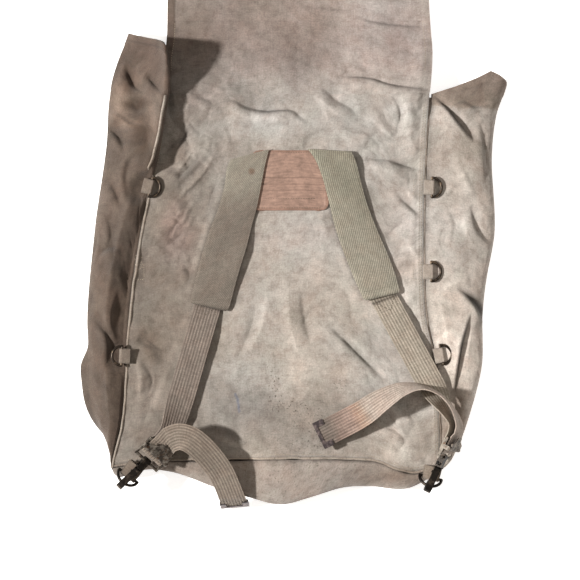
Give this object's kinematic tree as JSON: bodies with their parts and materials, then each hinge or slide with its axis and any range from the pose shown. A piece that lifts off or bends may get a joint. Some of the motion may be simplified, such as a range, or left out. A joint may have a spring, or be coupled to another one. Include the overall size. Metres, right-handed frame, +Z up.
{
  "type": "canvas rucksack",
  "caption": "Empty canvas rucksack lying on its front: soft bag with opened flap, shoulder straps, lashing rings, snap hooks and buckles.",
  "frame": {"origin": "on the rest plane, under the middle of the back panel", "axes": "+X to the right across the back panel as seen from above, +Y towards the flap, +Z up from the rest plane"},
  "size_m": [0.5066, 0.9445, 0.0885],
  "materials": {
    "canvas": "matte",
    "strap_weave": "matte",
    "webbing": "matte",
    "leather": "satin",
    "dark_metal": "satin",
    "worn_steel": "satin"
  },
  "bodies": {
    "bag": {"front_panel": "canvas", "back_panel": "canvas", "left_gusset": "canvas", "right_gusset": "canvas", "bottom_gusset": "canvas", "left_seam_welt": "canvas", "right_seam_welt": "canvas", "bottom_seam_welt": "canvas", "strap_patch": "leather", "left_upper_tab": "canvas", "left_lower_tab": "canvas", "right_upper_tab": "canvas", "right_middle_tab": "canvas", "right_lower_tab": "canvas", "left_corner_tab": "canvas", "right_corner_tab": "canvas", "left_hook": "dark_metal", "right_hook": "dark_metal", "left_gate_rivet": "dark_metal", "right_gate_rivet": "dark_metal", "left_hook_swivel": "dark_metal", "right_hook_swivel": "dark_metal", "left_buckle_frame": "worn_steel", "right_buckle_frame": "worn_steel", "left_buckle_pin": "worn_steel", "right_buckle_pin": "worn_steel", "left_strap_web": "webbing", "right_strap_web": "webbing", "left_strap_tail": "webbing", "right_strap_tail": "webbing", "left_tail_tip": "worn_steel", "right_tail_tip": "worn_steel", "left_front_buckle": "worn_steel", "right_front_buckle": "worn_steel", "left_front_tab": "webbing", "right_front_tab": "webbing"},
    "left_upper_ring_body": {"left_upper_ring": "dark_metal"},
    "left_lower_ring_body": {"left_lower_ring": "dark_metal"},
    "right_upper_ring_body": {"right_upper_ring": "dark_metal"},
    "right_middle_ring_body": {"right_middle_ring": "dark_metal"},
    "right_lower_ring_body": {"right_lower_ring": "dark_metal"},
    "left_corner_ring_body": {"left_corner_ring": "dark_metal"},
    "right_corner_ring_body": {"right_corner_ring": "dark_metal"},
    "left_gate_body": {"left_hook_gate": "dark_metal"},
    "left_lever_body": {"left_buckle_lever": "worn_steel"},
    "right_gate_body": {"right_hook_gate": "dark_metal"},
    "right_lever_body": {"right_buckle_lever": "worn_steel"},
    "left_strap_body": {"left_strap_pad": "strap_weave"},
    "right_strap_body": {"right_strap_pad": "strap_weave"},
    "flap_upper": {"flap_top": "canvas"},
    "flap_lower": {"flap_front": "canvas", "left_closure_strap": "webbing", "right_closure_strap": "webbing", "left_closure_tip": "worn_steel", "right_closure_tip": "worn_steel"}
  },
  "joints": [
    {"name": "left_upper_ring_swing", "type": "hinge", "parent": "bag", "child": "left_upper_ring_body", "pos_m": [-0.1669, 0.12327, 0.03723], "axis": [-0.237, -0.9715, 0], "range_deg": [0, 130]},
    {"name": "left_lower_ring_swing", "type": "hinge", "parent": "bag", "child": "left_lower_ring_body", "pos_m": [-0.20101, -0.07866, 0.04202], "axis": [0.0496, 0.9988, 0], "range_deg": [0, 130]},
    {"name": "right_upper_ring_swing", "type": "hinge", "parent": "bag", "child": "right_upper_ring_body", "pos_m": [0.17, 0.12278, 0.03609], "axis": [-0.0271, -0.9996, 0], "range_deg": [0, 130]},
    {"name": "right_middle_ring_swing", "type": "hinge", "parent": "bag", "child": "right_middle_ring_body", "pos_m": [0.16909, 0.02207, 0.03748], "axis": [0.0081, -1, 0], "range_deg": [0, 130]},
    {"name": "right_lower_ring_swing", "type": "hinge", "parent": "bag", "child": "right_lower_ring_body", "pos_m": [0.18148, -0.07745, 0.03886], "axis": [0.1897, -0.9818, 0], "range_deg": [0, 130]},
    {"name": "left_corner_ring_play", "type": "hinge", "parent": "bag", "child": "left_corner_ring_body", "pos_m": [-0.193, -0.222, 0.0416], "axis": [0.7986, -0.6018, 0], "range_deg": [-3, 3]},
    {"name": "right_corner_ring_play", "type": "hinge", "parent": "bag", "child": "right_corner_ring_body", "pos_m": [0.168, -0.224, 0.0416], "axis": [0.9703, -0.2419, 0], "range_deg": [-3, 3]},
    {"name": "left_hook_gate_press", "type": "hinge", "parent": "bag", "child": "left_gate_body", "pos_m": [-0.18619, -0.2178, 0.04872], "axis": [-0.6846, 0.7289, 0], "range_deg": [0, 12], "stiffness_Nm_per_rad": 0.02, "springref_deg": -5.73},
    {"name": "left_buckle_lever_lift", "type": "hinge", "parent": "bag", "child": "left_lever_body", "pos_m": [-0.15904, -0.1962, 0.05959], "axis": [0.6379, -0.6542, -0.4064], "range_deg": [0, 75]},
    {"name": "right_hook_gate_press", "type": "hinge", "parent": "bag", "child": "right_gate_body", "pos_m": [0.17312, -0.21766, 0.04901], "axis": [-0.9021, 0.4315, 0], "range_deg": [0, 12], "stiffness_Nm_per_rad": 0.02, "springref_deg": -5.73},
    {"name": "right_buckle_lever_lift", "type": "hinge", "parent": "bag", "child": "right_lever_body", "pos_m": [0.19382, -0.18921, 0.0569], "axis": [0.3901, -0.1271, -0.912], "range_deg": [0, 75]},
    {"name": "left_strap_lift", "type": "hinge", "parent": "bag", "child": "left_strap_body", "pos_m": [-0.044, 0.164, 0.0409], "axis": [-0.9613, 0.2756, 0], "range_deg": [0, 35], "deforming": ["left_strap_web"]},
    {"name": "right_strap_lift", "type": "hinge", "parent": "bag", "child": "right_strap_body", "pos_m": [0.044, 0.164, 0.04106], "axis": [-0.9367, -0.3502, 0], "range_deg": [0, 35], "deforming": ["right_strap_web"]},
    {"name": "flap_fold", "type": "hinge", "parent": "bag", "child": "flap_upper", "pos_m": [0.01, 0.235, 0.03], "axis": [1, 0, 0], "range_deg": [-72, 30]},
    {"name": "flap_crease", "type": "hinge", "parent": "flap_upper", "child": "flap_lower", "pos_m": [0.01, 0.32645, 0.0008], "axis": [1, 0, 0], "range_deg": [-108, 45]}
  ],
  "couplings": [
    {"joint": "flap_crease", "follows": "flap_fold", "ratio": 1.5}
  ]
}
